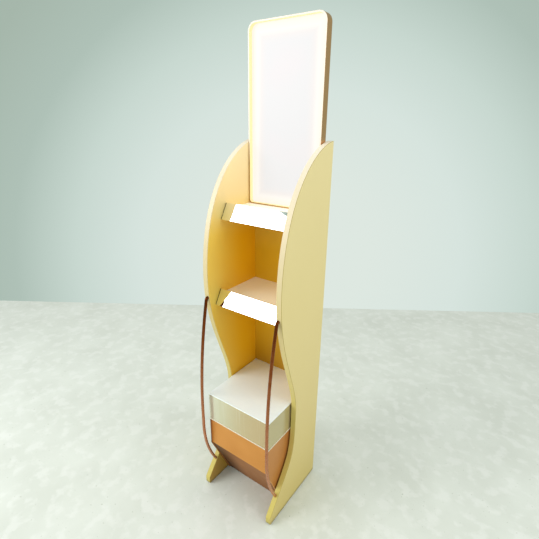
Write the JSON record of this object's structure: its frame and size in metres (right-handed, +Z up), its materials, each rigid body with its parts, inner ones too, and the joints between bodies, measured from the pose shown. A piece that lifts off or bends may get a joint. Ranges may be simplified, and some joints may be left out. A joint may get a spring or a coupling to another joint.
{
  "type": "floor display stand",
  "caption": "Tall free-standing retail display stand with S-curved side panels, mirror-fronted shelves, a copper plinth with a tray, bowed rods and a lit rounded header panel.",
  "frame": {"origin": "centre of the stand's footprint at floor level, under the centre of its bounding box", "axes": "+Z up, -Y towards the front of the stand, +X towards the right as seen from the front"},
  "size_m": [0.35, 0.3535, 1.82],
  "materials": {
    "panel_paint": "cream-yellow painted board, satin",
    "white_board": "white painted board, satin",
    "raw_board": "raw fibreboard, matte",
    "mirror_strip": "mirrored strip, polished",
    "bronze_ring": "bronze coated metal, satin",
    "opal_face": "opal sheet lit from behind",
    "rear_sheet": "white sheet, matte",
    "light_strip": "light strip, warm white",
    "spacer": "turned, satin",
    "black_plastic": "moulded black, matte",
    "grommet": "moulded black, matte",
    "glide": "moulded grey, matte",
    "copper_board": "copper coloured metallic skin on board, satin",
    "copper_dark": "copper coloured metallic skin on board, satin, in shade",
    "copper_rod": "rose copper plated bar, polished",
    "clear_sheet": "clear sheet with polished edges",
    "champagne_band": "champagne mirrored sheet, polished",
    "white_sheet": "white sheet, satin gloss"
  },
  "bodies": {
    "root": {"side_panel_right": "panel_paint", "side_panel_left": "panel_paint", "foot_glides": "glide", "back_board": "panel_paint", "cable_grommet": "grommet", "shelf_upper": "white_board", "shelf_middle": "white_board", "rail_backer_upper": "white_board", "rail_backer_middle": "white_board", "mirror_rail_upper": "mirror_strip", "mirror_rail_middle": "mirror_strip", "header_frame": "bronze_ring", "header_face": "opal_face", "header_cover": "rear_sheet", "header_led_strips": "light_strip", "header_standoffs": "spacer", "header_gland": "black_plastic", "plinth_side_right": "copper_board", "plinth_side_left": "copper_board", "plinth_front": "copper_board", "plinth_kick": "copper_dark", "plinth_deck": "raw_board", "tray_base": "clear_sheet", "tray_skirt": "champagne_band", "tray_top": "white_sheet", "tray_rear_batten": "raw_board", "bow_rod_right": "copper_rod", "bow_rod_left": "copper_rod"}
  },
  "joints": []
}
